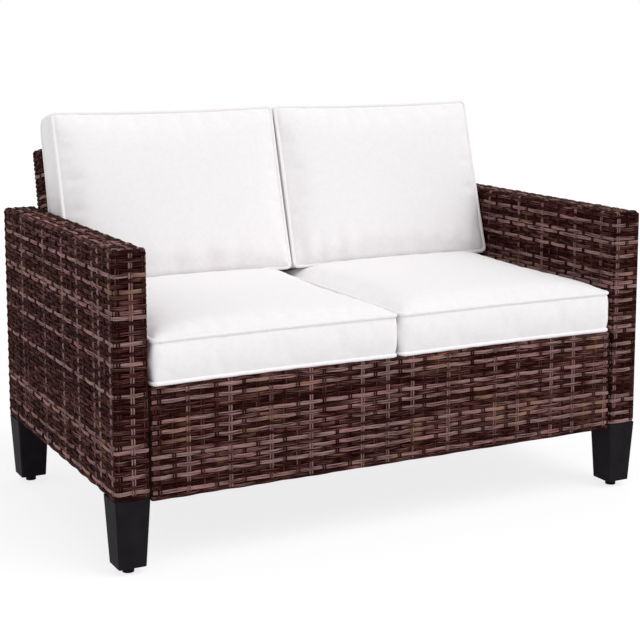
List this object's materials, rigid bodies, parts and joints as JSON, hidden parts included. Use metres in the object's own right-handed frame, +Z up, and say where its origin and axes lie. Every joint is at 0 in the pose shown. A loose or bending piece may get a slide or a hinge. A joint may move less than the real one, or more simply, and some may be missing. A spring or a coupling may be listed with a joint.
{
  "type": "patio loveseat",
  "caption": "Low outdoor loveseat: woven resin arms, apron and leaning back over a bolted tube frame, loose piped boxed cushions, tapered legs on levelling glides.",
  "frame": {"origin": "on the floor, at the middle of the footprint", "axes": "+X to the sitter's left along the seat, -Y to the front, +Z up"},
  "size_m": [1.12, 0.664, 0.7636],
  "materials": {
    "wicker": "satin",
    "cushion_fabric": "matte",
    "foam": "matte",
    "zip_plastic": "satin",
    "frame_steel": "satin",
    "zinc_steel": "satin",
    "brass": "satin",
    "leg_plastic": "satin",
    "glide_plastic": "satin"
  },
  "bodies": {
    "root": {"apron_frame": "frame_steel", "apron_wicker": "wicker", "arm_rivet_nuts": "zinc_steel", "back_frame": "frame_steel", "back_lugs": "frame_steel", "back_rivet_nuts": "zinc_steel", "back_to_arm_bolts": "zinc_steel", "back_to_arm_washers": "zinc_steel", "back_wicker": "wicker", "centre_bearer": "frame_steel", "front_left_leg": "leg_plastic", "front_right_leg": "leg_plastic", "left_arm_frame": "frame_steel", "left_arm_wicker": "wicker", "left_side_rail": "frame_steel", "leg_inserts": "brass", "leg_studs": "zinc_steel", "rear_left_leg": "leg_plastic", "rear_rail": "frame_steel", "rear_right_leg": "leg_plastic", "right_arm_frame": "frame_steel", "right_arm_wicker": "wicker", "right_side_rail": "frame_steel", "seat_slats": "frame_steel", "seat_to_arm_bolts": "zinc_steel", "seat_to_arm_washers": "zinc_steel", "seat_to_back_bolts": "zinc_steel", "seat_to_back_washers": "zinc_steel"},
    "front_left_glide_body": {"front_left_glide": "glide_plastic", "front_left_glide_stud": "zinc_steel"},
    "front_right_glide_body": {"front_right_glide": "glide_plastic", "front_right_glide_stud": "zinc_steel"},
    "rear_left_glide_body": {"rear_left_glide": "glide_plastic", "rear_left_glide_stud": "zinc_steel"},
    "rear_right_glide_body": {"rear_right_glide": "glide_plastic", "rear_right_glide_stud": "zinc_steel"},
    "left_seat_cushion": {"left_seat_cover": "cushion_fabric", "left_seat_foam": "foam", "left_seat_piping": "cushion_fabric", "left_seat_zip_tape": "zip_plastic"},
    "left_seat_slider_body": {"left_seat_zip_slider": "zip_plastic"},
    "left_back_cushion": {"left_back_cover": "cushion_fabric", "left_back_foam": "foam", "left_back_piping": "cushion_fabric", "left_back_zip_tape": "zip_plastic"},
    "left_back_slider_body": {"left_back_zip_slider": "zip_plastic"},
    "right_seat_cushion": {"right_seat_cover": "cushion_fabric", "right_seat_foam": "foam", "right_seat_piping": "cushion_fabric", "right_seat_zip_tape": "zip_plastic"},
    "right_seat_slider_body": {"right_seat_zip_slider": "zip_plastic"},
    "right_back_cushion": {"right_back_cover": "cushion_fabric", "right_back_foam": "foam", "right_back_piping": "cushion_fabric", "right_back_zip_tape": "zip_plastic"},
    "right_back_slider_body": {"right_back_zip_slider": "zip_plastic"}
  },
  "joints": [
    {"name": "front_left_glide_screw", "type": "slide", "parent": "root", "child": "front_left_glide_body", "axis": [0, 0, -1], "range_m": [0, 0.01]},
    {"name": "front_right_glide_screw", "type": "slide", "parent": "root", "child": "front_right_glide_body", "axis": [0, 0, -1], "range_m": [0, 0.01]},
    {"name": "rear_left_glide_screw", "type": "slide", "parent": "root", "child": "rear_left_glide_body", "axis": [0, 0, -1], "range_m": [0, 0.01]},
    {"name": "rear_right_glide_screw", "type": "slide", "parent": "root", "child": "rear_right_glide_body", "axis": [0, 0, -1], "range_m": [0, 0.01]},
    {"name": "left_seat_cushion_out", "type": "slide", "parent": "root", "child": "left_seat_cushion", "axis": [0, -1, 0], "range_m": [0, 0.56]},
    {"name": "left_seat_zip", "type": "slide", "parent": "left_seat_cushion", "child": "left_seat_slider_body", "axis": [1, 0, 0], "range_m": [0, 0.3]},
    {"name": "left_back_cushion_out", "type": "slide", "parent": "root", "child": "left_back_cushion", "axis": [0, 0.2198, 0.9755], "range_m": [0, 0.36]},
    {"name": "left_back_zip", "type": "slide", "parent": "left_back_cushion", "child": "left_back_slider_body", "axis": [-1, 0, 0], "range_m": [0, 0.3]},
    {"name": "right_seat_cushion_out", "type": "slide", "parent": "root", "child": "right_seat_cushion", "axis": [0, -1, 0], "range_m": [0, 0.56]},
    {"name": "right_seat_zip", "type": "slide", "parent": "right_seat_cushion", "child": "right_seat_slider_body", "axis": [-1, 0, 0], "range_m": [0, 0.3]},
    {"name": "right_back_cushion_out", "type": "slide", "parent": "root", "child": "right_back_cushion", "axis": [0, 0.2198, 0.9755], "range_m": [0, 0.36]},
    {"name": "right_back_zip", "type": "slide", "parent": "right_back_cushion", "child": "right_back_slider_body", "axis": [1, 0, 0], "range_m": [0, 0.3]}
  ]
}
